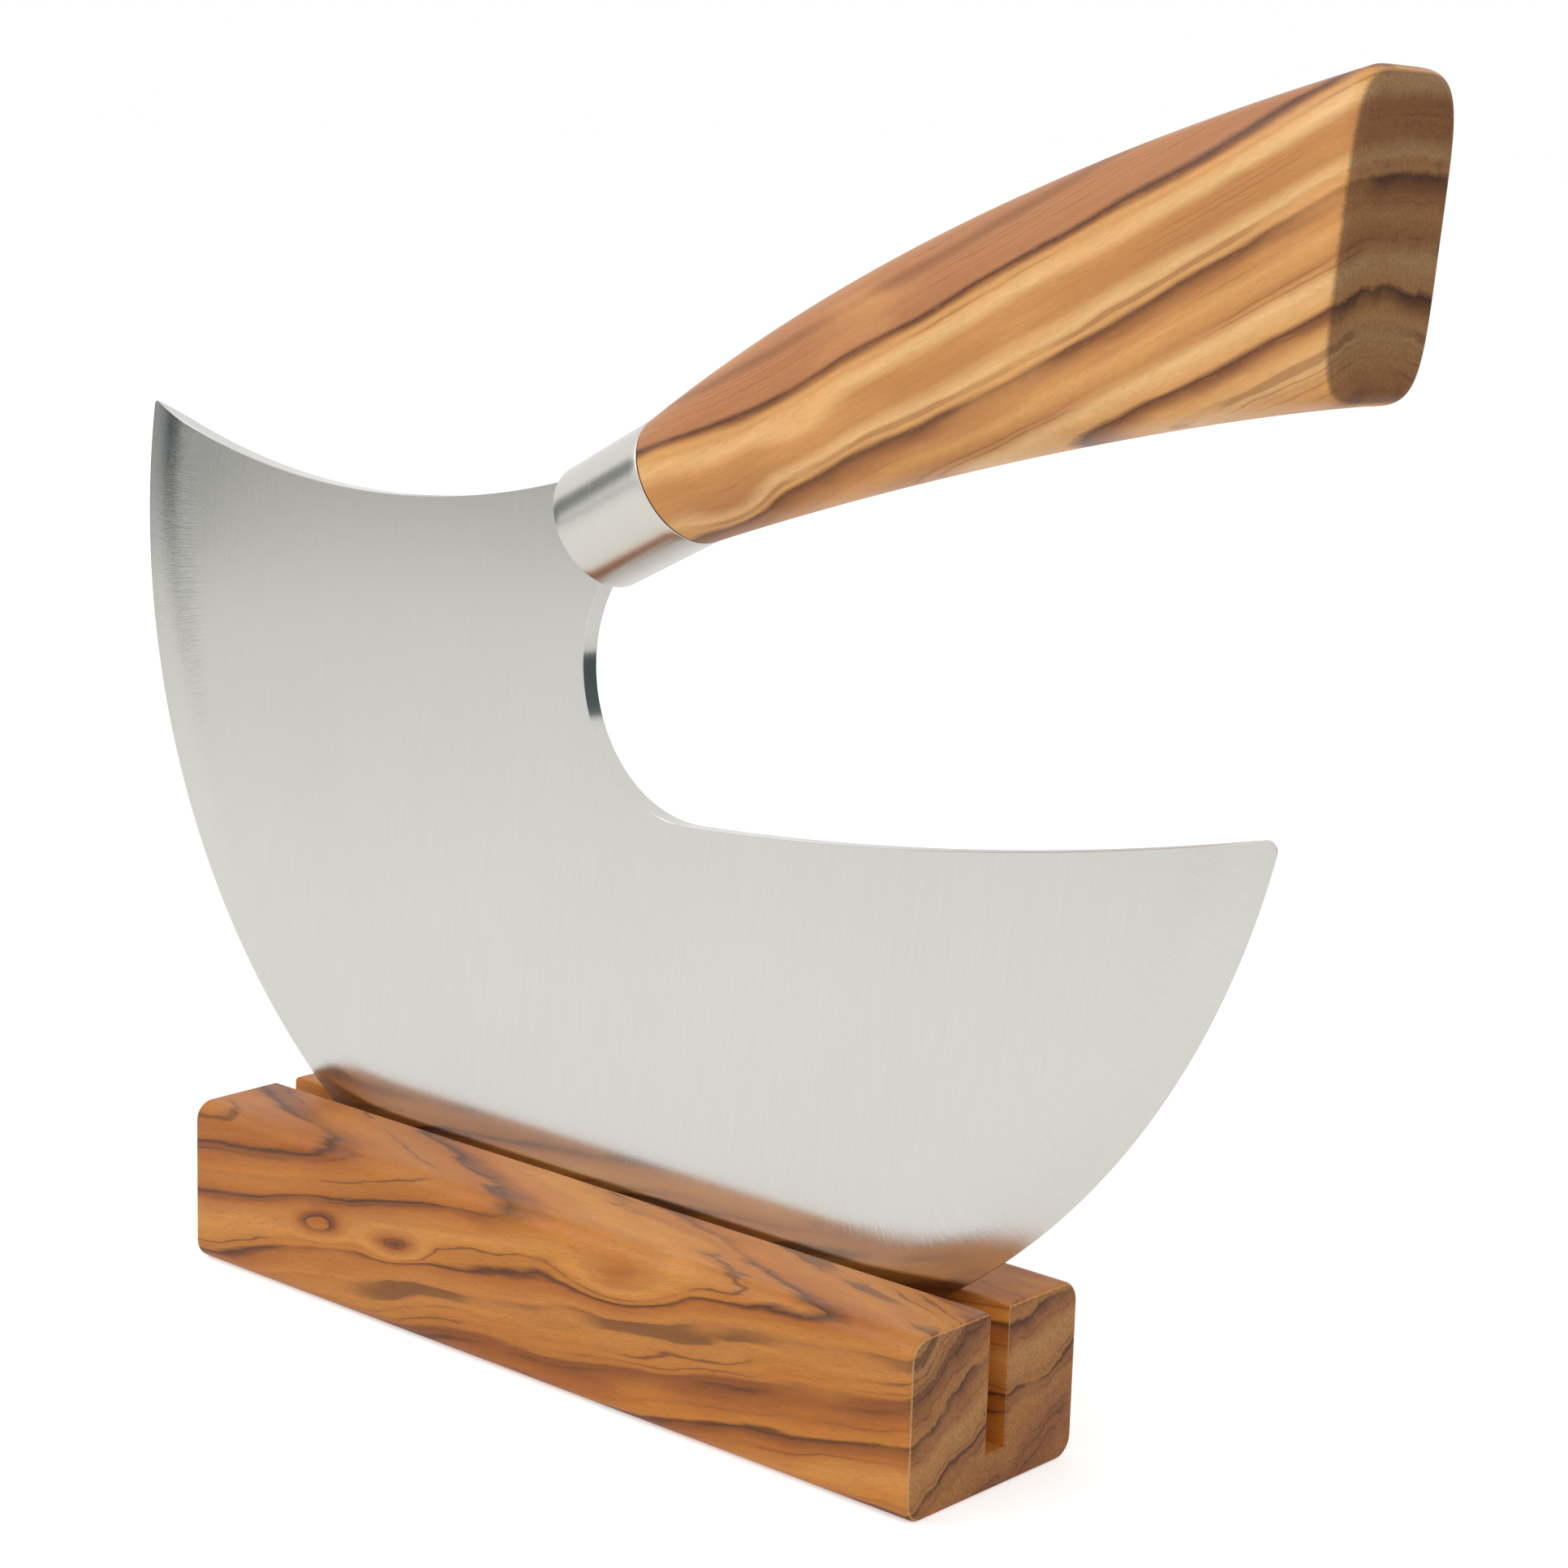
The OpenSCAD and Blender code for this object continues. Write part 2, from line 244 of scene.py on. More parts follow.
def oliveWood(name, look):
    material = bpy.data.materials.new(name)
    material.use_nodes = True
    tree = material.node_tree
    shader = tree.nodes["Principled BSDF"]
    objectPlace = put(tree, "ShaderNodeTexCoord").outputs["Object"]
    place = scaled(tree, objectPlace, (1 / mm, 1 / mm, 1 / mm))
    place = put(tree, "ShaderNodeVectorMath", {0: place, 1: look["zero"]}, operation="SUBTRACT").outputs[0]
    place = put(tree, "ShaderNodeMapping", {
        "Vector": place,
        "Rotation": tuple(math.radians(turn) for turn in look["grainTurn"]),
    }).outputs[0]

    # small swellings lift the layers, which bends the veins and closes some into eyes
    lift = 0.0
    for centre, reach, height in look["swellings"]:
        away = put(tree, "ShaderNodeVectorMath", {0: place, 1: centre}, operation="SUBTRACT").outputs[0]
        away = scaled(tree, away, tuple(1 / part for part in reach))
        far = put(tree, "ShaderNodeVectorMath", {0: away}, operation="LENGTH").outputs["Value"]
        lift = calc(tree, "MULTIPLY_ADD", stepBetween(tree, far, 1.0, 0.0), height, lift)

    wood = put(tree, "ShaderNodeGroup", node_tree=bpy.data.node_groups["oliveLayers"])
    tree.links.new(place, wood.inputs["Place"])
    if look["swellings"]:
        tree.links.new(lift, wood.inputs["Lift"])
    for label in ("Pith Y", "Pith Z", "Swirl", "Ripple"):
        wood.inputs[label].default_value = look[label]
    layer = wood.outputs["Layer"]
    patch = wood.outputs["Patch"]
    fibre = wood.outputs["Fibre"]
    streak = wood.outputs["Streak"]

    # broad bands and main veins, weaker in patches
    low, high = look["range"]
    colour = rampOf(tree, layer, low, high, look["bands"])
    weak = calc(tree, "MULTIPLY", stepBetween(tree, patch, 0.50, 0.70), look["weakening"])
    colour = blendColour(tree, weak, colour, look["ground"])

    # thin lesser veins where a run of noise crosses its middle, fading in patches
    run = noiseAlong(tree, calc(tree, "MULTIPLY_ADD", layer, look["veinPace"], look["veinSeed"]), detail=2.0)
    off = calc(tree, "ABSOLUTE", calc(tree, "SUBTRACT", run, 0.5))
    halo = stepBetween(tree, off, look["haloWidth"], 0.0)
    thin = stepBetween(tree, off, look["veinWidth"], look["veinWidth"] * 0.2)
    fade = stepBetween(tree, patch, 0.56, 0.42)
    colour = blendColour(tree, calc(tree, "MULTIPLY", halo, look["haloStrength"]), colour, look["haloColour"])
    thin = calc(tree, "MULTIPLY", calc(tree, "MULTIPLY", thin, fade), look["veinStrength"])
    colour = blendColour(tree, thin, colour, look["veinColour"])

    # slow changes of tone, streaks, fibres and pores
    value = calc(tree, "MULTIPLY_ADD", calc(tree, "SUBTRACT", patch, 0.5), 0.25, 1.0)
    value = calc(tree, "MULTIPLY_ADD", calc(tree, "SUBTRACT", streak, 0.5), look["streakStrength"], value)
    value = calc(tree, "MULTIPLY_ADD", calc(tree, "SUBTRACT", fibre, 0.5), look["fibreStrength"], value)
    colour = put(tree, "ShaderNodeHueSaturation", {"Value": value, "Color": colour}).outputs[0]
    pore = calc(tree, "MULTIPLY", wood.outputs["Pore"], look["poreStrength"])
    colour = blendColour(tree, pore, colour, look["haloColour"])

    # end grain is darker, greyer and speckled with the ends of the pores, and its rim is worn pale
    endMark = put(tree, "ShaderNodeAttribute", attribute_name="endGrain").outputs["Fac"]
    specks = noise(tree, place, scale=2.6, detail=3.0, rough=0.75)
    speckle = calc(tree, "MULTIPLY_ADD", calc(tree, "SUBTRACT", specks, 0.5), look["speckStrength"], 1.0)
    dark = blendColour(tree, 1.0, colour, look["endTint"], blend="MULTIPLY")
    dark = put(tree, "ShaderNodeHueSaturation", {
        "Saturation": look["endSaturation"],
        "Value": speckle,
        "Color": dark,
    }).outputs[0]
    endWobble = calc(tree, "MULTIPLY_ADD", calc(tree, "SUBTRACT", specks, 0.5), 0.6, endMark)
    colour = blendColour(tree, stepBetween(tree, endWobble, 0.25, 0.75), colour, dark)
    rimMark = calc(tree, "MULTIPLY", endMark, calc(tree, "SUBTRACT", 1.0, endMark))
    wear = stepBetween(tree, calc(tree, "MULTIPLY", rimMark, calc(tree, "MULTIPLY", specks, 8.0)), 0.35, 1.1)
    colour = blendColour(tree, calc(tree, "MULTIPLY", wear, look["wearStrength"]), colour, look["wearColour"])
    tree.links.new(colour, shader.inputs["Base Color"])

    rough = calc(tree, "MULTIPLY_ADD", fibre, 0.20, look["roughness"])
    rough = calc(tree, "MULTIPLY_ADD", endMark, 0.12, rough)
    tree.links.new(rough, shader.inputs["Roughness"])
    height = calc(tree, "MULTIPLY_ADD", wood.outputs["Pore"], -0.5, fibre)
    bump = put(tree, "ShaderNodeBump", {"Strength": 0.35, "Distance": 0.00008, "Height": height}).outputs[0]
    tree.links.new(bump, shader.inputs["Normal"])
    shader.inputs["Specular IOR Level"].default_value = look["sheen"]
    shader.inputs["Coat Weight"].default_value = look["oil"]
    shader.inputs["Coat Roughness"].default_value = 0.35
    return material


def brushedSteelGroup():
    # hair lines along one axis, a few longer scratches, and slow changes of tone
    tree, given, out = newGroup(
        "brushedSteel",
        [("Place", vectorSocket, None), ("Base", colourSocket, srgb(224, 222, 218)),
         ("Base Rough", floatSocket, 0.34)],
        [("Color", colourSocket), ("Roughness", floatSocket), ("Height", floatSocket)],
    )
    place = given["Place"]
    hair = noise(tree, scaled(tree, place, (9.0, 9.0, 0.10)), detail=3.0, rough=0.65)
    coarse = noise(tree, scaled(tree, place, (2.2, 2.2, 0.03)), detail=2.0)
    cloud = noise(tree, scaled(tree, place, (0.03, 0.03, 0.02)), detail=2.0)
    value = calc(tree, "MULTIPLY_ADD", calc(tree, "SUBTRACT", hair, 0.5), 0.10, 1.0)
    value = calc(tree, "MULTIPLY_ADD", calc(tree, "SUBTRACT", coarse, 0.5), 0.06, value)
    value = calc(tree, "MULTIPLY_ADD", calc(tree, "SUBTRACT", cloud, 0.5), 0.06, value)
    tone = put(tree, "ShaderNodeHueSaturation", {"Value": value, "Color": given["Base"]}).outputs[0]
    tree.links.new(tone, out["Color"])
    rough = calc(tree, "MULTIPLY_ADD", calc(tree, "SUBTRACT", hair, 0.5), 0.18, given["Base Rough"])
    tree.links.new(rough, out["Roughness"])
    tree.links.new(calc(tree, "MULTIPLY_ADD", coarse, 0.5, hair), out["Height"])
    return tree


def brushedSteel(name, look, aroundAxis=False):
    material = bpy.data.materials.new(name)
    material.use_nodes = True
    tree = material.node_tree
    shader = tree.nodes["Principled BSDF"]
    objectPlace = put(tree, "ShaderNodeTexCoord").outputs["Object"]
    millimetres = scaled(tree, objectPlace, (1 / mm, 1 / mm, 1 / mm))
    place = put(tree, "ShaderNodeMapping", {
        "Vector": millimetres,
        "Rotation": (0.0, math.radians(look["lineSlope"]), 0.0),
    }).outputs[0]
    if aroundAxis:
        # lines run round X, so only the place along X changes the tone quickly
        apart = put(tree, "ShaderNodeSeparateXYZ", {0: place}).outputs
        place = put(tree, "ShaderNodeCombineXYZ", {0: apart[0], 1: 0.0, 2: apart[2]}).outputs[0]

    def steelAt(where):
        steel = put(tree, "ShaderNodeGroup", node_tree=bpy.data.node_groups["brushedSteel"])
        tree.links.new(where, steel.inputs["Place"])
        steel.inputs["Base"].default_value = look["base"]
        steel.inputs["Base Rough"].default_value = look["rough"]
        return steel.outputs

    steel = steelAt(place)
    colour = steel["Color"]
    rough = steel["Roughness"]
    height = steel["Height"]
    if "groundFrom" in look:
        # near the cutting edge the lines run across it, left by the grinding of the bevel
        centre = tuple(part / mm for part in edgeCentre)
        away = put(tree, "ShaderNodeVectorMath", {0: millimetres, 1: centre}, operation="SUBTRACT")
        fromCentre = away.outputs[0]
        apart = put(tree, "ShaderNodeSeparateXYZ", {0: fromCentre}).outputs
        reach = put(tree, "ShaderNodeVectorMath", {0: fromCentre}, operation="LENGTH").outputs["Value"]
        turned = calc(tree, "ARCTAN2", apart[0], calc(tree, "MULTIPLY", apart[2], -1.0))
        alongEdge = calc(tree, "MULTIPLY", turned, knifePlace["edgeRadius"] / mm)
        across = put(tree, "ShaderNodeCombineXYZ", {0: alongEdge, 1: apart[1], 2: reach}).outputs[0]
        ground = steelAt(across)
        ragged = noise(tree, scaled(tree, across, (1.6, 0.0, 0.05)), detail=2.0)
        reach = calc(tree, "MULTIPLY_ADD", calc(tree, "SUBTRACT", ragged, 0.5), 6.0, reach)
        mask = stepBetween(tree, reach, look["groundFrom"], look["groundTo"])
        colour = blendColour(tree, mask, colour, ground["Color"])
        height = calc(tree, "ADD", calc(tree, "MULTIPLY", height, calc(tree, "SUBTRACT", 1.0, mask)),
                      calc(tree, "MULTIPLY", ground["Height"], calc(tree, "MULTIPLY", mask, 3.0)))
    tree.links.new(colour, shader.inputs["Base Color"])
    tree.links.new(rough, shader.inputs["Roughness"])
    bump = put(tree, "ShaderNodeBump", {"Strength": 0.20, "Distance": 0.00002, "Height": height}).outputs[0]
    tree.links.new(bump, shader.inputs["Normal"])
    shader.inputs["Metallic"].default_value = 1.0
    return material


oliveLayersGroup()
brushedSteelGroup()
print("shader groups made")


# block of olive wood

blockGold = srgb(202, 128, 52)
blockPale = srgb(216, 146, 72)
blockTan = srgb(178, 104, 42)
blockBrown = srgb(140, 80, 38)
blockVein = srgb(76, 44, 26)
blockLook = {
    "zero": (0.0, 0.0, 0.0),
    "grainTurn": (-17.0, 9.0, 0.0),   # the layers rise to the back and to the right
    "Pith Y": 14.0,
    "Pith Z": -95.0,
    "Swirl": 8.0,
    "Ripple": 1.4,
    # centre, reach and lift of each swelling, in the grain's own axes
    "swellings": [
        ((-41.5, -14.0, 24.5), (9.0, 9.0, 3.2), 4.6),
        ((-24.0, -13.0, 22.5), (10.0, 9.0, 3.4), 5.2),
        ((23.5, -11.0, 21.5), (17.0, 9.0, 6.0), 5.0),
    ],
    "range": (-10.0, 50.0),
    "bands": [
        (-10.0, blockTan), (-4.0, blockGold), (-1.6, blockTan), (-0.9, blockVein), (-0.4, blockGold),
        (4.0, blockPale), (7.2, blockTan), (8.4, blockBrown), (8.9, blockVein), (9.3, blockGold),
        (12.0, blockTan), (14.5, blockBrown), (15.0, blockGold), (18.5, blockPale), (22.6, blockTan),
        (23.3, blockVein), (23.7, blockGold), (26.5, blockPale), (28.9, blockTan), (29.9, blockBrown),
        (30.3, blockVein), (30.8, blockTan), (33.5, blockGold), (37.0, blockTan), (38.4, blockBrown),
        (38.9, blockVein), (39.6, blockTan), (44.0, blockGold), (50.0, blockTan),
    ],
    "ground": blockGold,
    "weakening": 0.55,
    "veinPace": 0.11,
    "veinSeed": 7.3,
    "veinWidth": 0.012,
    "veinStrength": 0.6,
    "veinColour": blockVein,
    "haloWidth": 0.06,
    "haloStrength": 0.30,
    "haloColour": blockBrown,
    "streakStrength": 0.30,
    "fibreStrength": 0.40,
    "poreStrength": 0.30,
    "endTint": (0.62, 0.66, 0.78, 1.0),
    "endSaturation": 0.94,
    "speckStrength": 1.5,
    "wearColour": srgb(206, 168, 124),
    "wearStrength": 0.6,
    "roughness": 0.36,
    "sheen": 0.25,
    "oil": 0.05,
}
block = {
    "longRadius": 3.0 * mm,     # long edges
    "uprightRadius": 1.0 * mm,  # upright corners
    "endRadius": 1.0 * mm,      # edges round the ends
    "grainTurnsFrom": 0.15 * mm,
    "grainTurnsTo": 0.45 * mm,
    "slotRim": 0.35 * mm,       # worn rims of the sawn slot
    "slotLow": 5.5 * mm,
    "slotFront": -1.6 * mm,
    "slotBack": 2.8 * mm,
    "cornerSteps": 8,
    "endSteps": 10,
}


def arcPoints(centre, radius, fromAngle, toAngle, steps):
    angles = np.radians(np.linspace(fromAngle, toAngle, steps + 1))
    return np.stack([centre[0] + radius * np.cos(angles), centre[1] + radius * np.sin(angles)], axis=-1)


def blockProfile(insetY, insetZ, insetSlot):
    # closed outline across the block: a rounded rectangle with the slot cut down into it,
    # drawn smaller by the insets towards the two ends
    low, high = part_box("stand")
    halfW = high[1] - insetY
    top = high[2] - insetZ
    bottom = low[2] + insetZ
    radius = block["longRadius"] - min(insetY, insetZ) * 0.5
    steps = block["cornerSteps"]
    rim = block["slotRim"]
    front = block["slotFront"] - insetSlot
    back = block["slotBack"] + insetSlot
    floor = block["slotLow"] - insetSlot
    return np.concatenate([
        arcPoints((halfW - radius, bottom + radius), radius, -90, 0, steps),
        arcPoints((halfW - radius, top - radius), radius, 0, 90, steps),
        arcPoints((back + rim, top - rim), rim, 90, 180, 4),
        np.array([[back, floor + rim], [back, floor], [front, floor], [front, floor + rim]]),
        arcPoints((front - rim, top - rim), rim, 0, 90, 4),
        arcPoints((-halfW + radius, top - radius), radius, 90, 180, steps),
        arcPoints((-halfW + radius, bottom + radius), radius, 180, 270, steps),
    ])


def endStations():
    # distance from the end face and how far the outline is pulled in there
    reach = block["uprightRadius"]
    t = np.radians(np.linspace(0, 90, block["endSteps"] + 1))
    depth = reach * (1 - np.cos(t))
    insetY = reach * (1 - np.sin(t))
    endR = block["endRadius"]
    inside = np.clip(depth / endR, 0, 1)
    insetZ = endR * (1 - np.sqrt(1 - (1 - inside) ** 2))
    rim = block["slotRim"]
    insideRim = np.clip(depth / rim, 0, 1)
    insetSlot = rim * (1 - np.sqrt(1 - (1 - insideRim) ** 2))
    return depth, insetY, insetZ, insetSlot


def makeBlock(material):
    low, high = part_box("stand")
    depth, insetY, insetZ, insetSlot = endStations()
    left = [(low[0] + d, y, z, s) for d, y, z, s in zip(depth, insetY, insetZ, insetSlot)]
    right = [(high[0] - d, y, z, s) for d, y, z, s in zip(depth, insetY, insetZ, insetSlot)]
    rings = []
    ends = []
    for x, y, z, s in left + right[::-1]:
        outline = blockProfile(y, z, s)
        rings.append(np.column_stack([np.full(len(outline), x), outline]))
        ends.append(np.full(len(outline), min(abs(x - low[0]), abs(high[0] - x))))
    count = len(rings[0])
    points = np.concatenate(rings)
    faces = gridFaces(len(rings), count)
    lastRing = (len(rings) - 1) * count
    faces.append(list(range(count - 1, -1, -1)))
    faces.append(list(range(lastRing, lastRing + count)))
    endGrain = np.interp(np.concatenate(ends), (block["grainTurnsFrom"], block["grainTurnsTo"]), (1, 0))
    return newPiece("oliveBlock", points, faces, "stand", ["stand"], material,
                    marks={"endGrain": endGrain})


makeBlock(oliveWood("blockOlive", blockLook))


# blade

blade = {
    "thickness": 3.0 * mm,
    "bevel": 6.5 * mm,
    "edge": 0.3 * mm,
    "spineRadius": 160 * mm,
    "spineLow": 4.3 * mm,
    "recessRadius": 22 * mm,
    "recessLow": 37.5 * mm,
    "wingRadius": 520 * mm,
    "wingSlope": 3.0,
    "tipRadius": 1.5 * mm,
    "pointRadius": 0.7 * mm,
    "neckTop": 8 * mm,
    "neckLow": 7 * mm,
    "softEdge": 0.15 * mm,
    "shoulder": 2.5 * mm,       # how far the ground bevel's shoulder is blended
    # angles on the cutting edge below the neck's two corners and the end of the recess
    "underNeck": (221.0, 226.0),
    "underRecess": 277.0,
    "edgeRows": 24,
    "edgeReach": 22 * mm,
    "faceRows": 12,
    "tangHeight": 9 * mm,
    "tangLength": 64 * mm,
}
neck = {
    "slope": 27.5,
    "x": -9.3 * mm,
    "z": 4.0 * mm,
}
neckAngle = math.radians(neck["slope"])
neckAlong = np.array([math.cos(neckAngle), math.sin(neckAngle)])
neckUp = np.array([-math.sin(neckAngle), math.cos(neckAngle)])
neckMiddle = np.array([neck["x"], neck["z"]])


def meetingPoint(centreA, radiusA, centreB, radiusB, side):
    # where two circles cross, on the side asked for
    way = centreB - centreA
    gap = np.hypot(*way)
    along = (radiusA ** 2 - radiusB ** 2 + gap ** 2) / (2 * gap)
    across = math.sqrt(radiusA ** 2 - along ** 2)
    way = way / gap
    return centreA + along * way + side * across * np.array([-way[1], way[0]])


def angleOf(point, centre):
    return math.degrees(math.atan2(point[1] - centre[1], point[0] - centre[0]))


def bladeCentres():
    high = neckMiddle + blade["neckTop"] * neckUp
    deep = neckMiddle - blade["neckLow"] * neckUp
    spineZ = blade["spineLow"] + blade["spineRadius"]
    spine = np.array([high[0] - math.sqrt(blade["spineRadius"] ** 2 - (spineZ - high[1]) ** 2), spineZ])
    recessZ = blade["recessRadius"] - blade["recessLow"]
    recess = np.array([deep[0] + math.sqrt(blade["recessRadius"] ** 2 - (deep[1] - recessZ) ** 2), recessZ])
    rise = math.radians(blade["wingSlope"])
    start = recess + blade["recessRadius"] * np.array([math.sin(rise), -math.cos(rise)])
    wing = start + blade["wingRadius"] * np.array([-math.sin(rise), math.cos(rise)])
    return high, deep, spine, recess, wing


def bladeLines(inset):
    # two lines of as many points from the left point to the right tip, drawn smaller by the inset:
    # the cutting edge below, and the spine, neck, recess and wing above
    high, deep, spine, recess, wing = bladeCentres()
    edgeR = knifePlace["edgeRadius"]
    middle = np.zeros(2)
    tip = meetingPoint(middle, edgeR - blade["tipRadius"], wing, blade["wingRadius"] + blade["tipRadius"], -1)
    point = meetingPoint(middle, edgeR - blade["pointRadius"], spine,
                         blade["spineRadius"] + blade["pointRadius"], 1)
    tipR = blade["tipRadius"] - inset
    pointR = blade["pointRadius"] - inset
    edgeFrom = angleOf(point, middle)
    edgeTo = angleOf(tip, middle) + 360
    pointTop = angleOf(point, spine) + 180
    tipTop = angleOf(tip, wing) + 540
    pointMiddle = (pointTop + edgeFrom) / 2
    tipMiddle = (tipTop + edgeTo) / 2
    steps = {"point": 7, "spine": 148, "neck": 12, "recess": 90, "wing": 110, "tip": 9}
    underHigh, underDeep = blade["underNeck"]
    lower = [
        arcPoints(point, pointR, pointMiddle, edgeFrom, steps["point"]),
        arcPoints(middle, edgeR - inset, edgeFrom, underHigh, steps["spine"]),
        arcPoints(middle, edgeR - inset, underHigh, underDeep, steps["neck"]),
        arcPoints(middle, edgeR - inset, underDeep, blade["underRecess"], steps["recess"]),
        arcPoints(middle, edgeR - inset, blade["underRecess"], edgeTo, steps["wing"]),
        arcPoints(tip, tipR, edgeTo, tipMiddle, steps["tip"]),
    ]
    rise = blade["wingSlope"]
    spineR = blade["spineRadius"] + inset
    recessR = blade["recessRadius"] + inset
    spineLine = arcPoints(spine, spineR, pointTop - 180, angleOf(high, spine), steps["spine"])
    recessLine = arcPoints(recess, recessR, angleOf(deep, recess), rise + 270, steps["recess"])
    upper = [
        arcPoints(point, pointR, pointMiddle, pointTop, steps["point"]),
        spineLine,
        np.linspace(spineLine[-1], recessLine[0], steps["neck"] + 1),
        recessLine,
        arcPoints(wing, blade["wingRadius"] + inset, rise - 90, tipTop - 540, steps["wing"]),
        arcPoints(tip, tipR, tipTop, tipMiddle, steps["tip"]),
    ]
    return [np.concatenate([part[:-1] for part in line] + [line[-1][-1:]]) for line in (lower, upper)]


def halfThickness(flat):
    # half the sheet, less the bevel's slope times the depth into the bevel. The depth is
    # (x + sqrt(x^2 + shoulder^2)) / 2, which blends from 0 to x.
    reach = np.hypot(flat[..., 0], flat[..., 1])
    x = reach - (knifePlace["edgeRadius"] - blade["bevel"])
    depth = (x + np.sqrt(x ** 2 + blade["shoulder"] ** 2)) / 2
    slope = (blade["thickness"] - blade["edge"]) / 2 / blade["bevel"]
    return blade["thickness"] / 2 - slope * depth


def faceGrid(side):
    # each column runs from the cutting edge to the upper line: close rows over the bevel's reach,
    # then wider ones
    lower, upper = bladeLines(blade["softEdge"])
    height = np.hypot(*(upper - lower).T)
    near = np.minimum(blade["edgeReach"], 0.8 * height)
    share = np.concatenate([
        np.linspace(0, 1, blade["edgeRows"], endpoint=False)[:, None] * near,
        near + np.linspace(0, 1, blade["faceRows"] + 1)[:, None] * (height - near),
    ]) / np.maximum(height, 1e-9)
    flat = lower + share[..., None] * (upper - lower)
    through = side * halfThickness(flat)
    return np.stack([flat[..., 0], through, flat[..., 1]], axis=-1)


def rimLoop(inset):
    lower, upper = bladeLines(inset)
    return np.concatenate([lower, upper[-2:0:-1]])


def makeBlade(material):
    # two ground faces, and rows round the rim over a small quarter circle from one to the other
    soft = blade["softEdge"]
    outer = rimLoop(0.0)
    inner = rimLoop(soft)
    face = halfThickness(inner)
    thin = np.minimum(soft, 0.7 * face)
    turns = np.radians([0, 30, 60, 90])
    rows = []
    for side, order in ((-1, turns), (1, turns[::-1])):
        for turn in order:
            flat = inner + (outer - inner) * math.sin(turn)
            through = side * (face - thin * (1 - math.cos(turn)))
            rows.append(np.column_stack([flat[:, 0], through, flat[:, 1]]))
    points = np.concatenate(rows)
    faces = gridFaces(len(rows), len(inner))
    for side in (-1, 1):
        grid = faceGrid(side)
        faces += gridFaces(*grid.shape[:2], closed=False, start=len(points))
        points = np.concatenate([points, grid.reshape(-1, 3)])
    tangPoints, tangFaces = tangBox(len(points))
    points = np.concatenate([points, tangPoints])
    faces += tangFaces
    return newPiece("groundBlade", inKnife(points), faces, "knife", ["blade"], material, 12)


def alongNeck(along, up, through):
    # points given along the ferrule, up across it and through the sheet, in the knife's plane
    flat = neckMiddle + np.outer(along, neckAlong) + np.outer(up, neckUp)
    return np.column_stack([flat[:, 0], through, flat[:, 1]])


def tangBox(start):
    # flat tang with a narrowed end, behind the neck
    half = blade["tangHeight"] / 2
    length = blade["tangLength"]
    along = np.array([0.3 * mm, length - 8 * mm, length, length, length - 8 * mm, 0.3 * mm])
    up = np.array([-half, -half, -0.6 * half, 0.6 * half, half, half])
    t = blade["thickness"] / 2
    points = np.concatenate([alongNeck(along, up, np.full(6, side * t)) for side in (-1, 1)])
    faces = gridFaces(2, 6, start=start)
    faces += [[start + i for i in range(6)], [start + 6 + i for i in range(5, -1, -1)]]
    return points, faces


bladeLook = {
    "base": srgb(207, 205, 200),
    "rough": 0.14,
    "lineSlope": -4.0,
    "groundFrom": 98.0,   # millimetres from the centre of the round edge
    "groundTo": 106.0,
}
makeBlade(brushedSteel("bladeSteel", bladeLook))


# ferrule

ferrule = {
    "length": 18.8 * mm,
    "radius": 9.7 * mm,
    "woodRadius": 10.0 * mm,
    "front": 2.5 * mm,
    "sleeve": 8.45 * mm,
    "rim": 0.4 * mm,
    "slotHalfHeight": 4.55 * mm,
    "slotHalfWidth": 1.55 * mm,
    "points": 192,
}


def makeFerrule(material):
    # the profile turns round the neck's axis; its innermost stretch follows the tang's oblong hole
    turn = np.linspace(0, 2 * np.pi, ferrule["points"], endpoint=False)
    hole = np.minimum(ferrule["slotHalfWidth"] / np.maximum(np.abs(np.cos(turn)), 1e-9),
                      ferrule["slotHalfHeight"] / np.maximum(np.abs(np.sin(turn)), 1e-9))
    rim = ferrule["rim"]
    length = ferrule["length"]
    frontR = ferrule["radius"]
    woodR = ferrule["woodRadius"]
    steps = np.radians(np.linspace(0, 90, 7))
    profile = [(x, r) for x, r in zip(rim * (1 - np.sin(steps)), frontR - rim * (1 - np.cos(steps)))][::-1]
    profile += [(length * k / 12, frontR + (woodR - frontR) * k / 12) for k in range(1, 12)]
    back = rim / 2
    profile += [(length - back * (1 - math.sin(t)), woodR - back * (1 - math.cos(t))) for t in steps]
    profile += [(length, ferrule["sleeve"]), (ferrule["front"], ferrule["sleeve"])]
    rows = [alongNeck(np.zeros(len(turn)), hole * np.sin(turn), hole * np.cos(turn))]
    for x, r in profile:
        rows.append(alongNeck(np.full(len(turn), x), r * np.sin(turn), r * np.cos(turn)))
    rows.append(alongNeck(np.full(len(turn), ferrule["front"]), hole * np.sin(turn), hole * np.cos(turn)))
    rows.append(rows[0])
    points = np.concatenate(rows[:-1])
    faces = gridFaces(len(rows) - 1, len(turn))
    count = len(turn)
    last = (len(rows) - 2) * count
    faces += [[last + i, last + (i + 1) % count, (i + 1) % count, i] for i in range(count)]
    return newPiece("turnedFerrule", inKnife(points), faces, "knife", ["ferrule"],
                    material, 40)


ferruleLook = {
    "base": srgb(208, 205, 198),
    "rough": 0.24,
    "lineSlope": neck["slope"],
}
makeFerrule(brushedSteel("ferruleSteel", ferruleLook, aroundAxis=True))


# handle

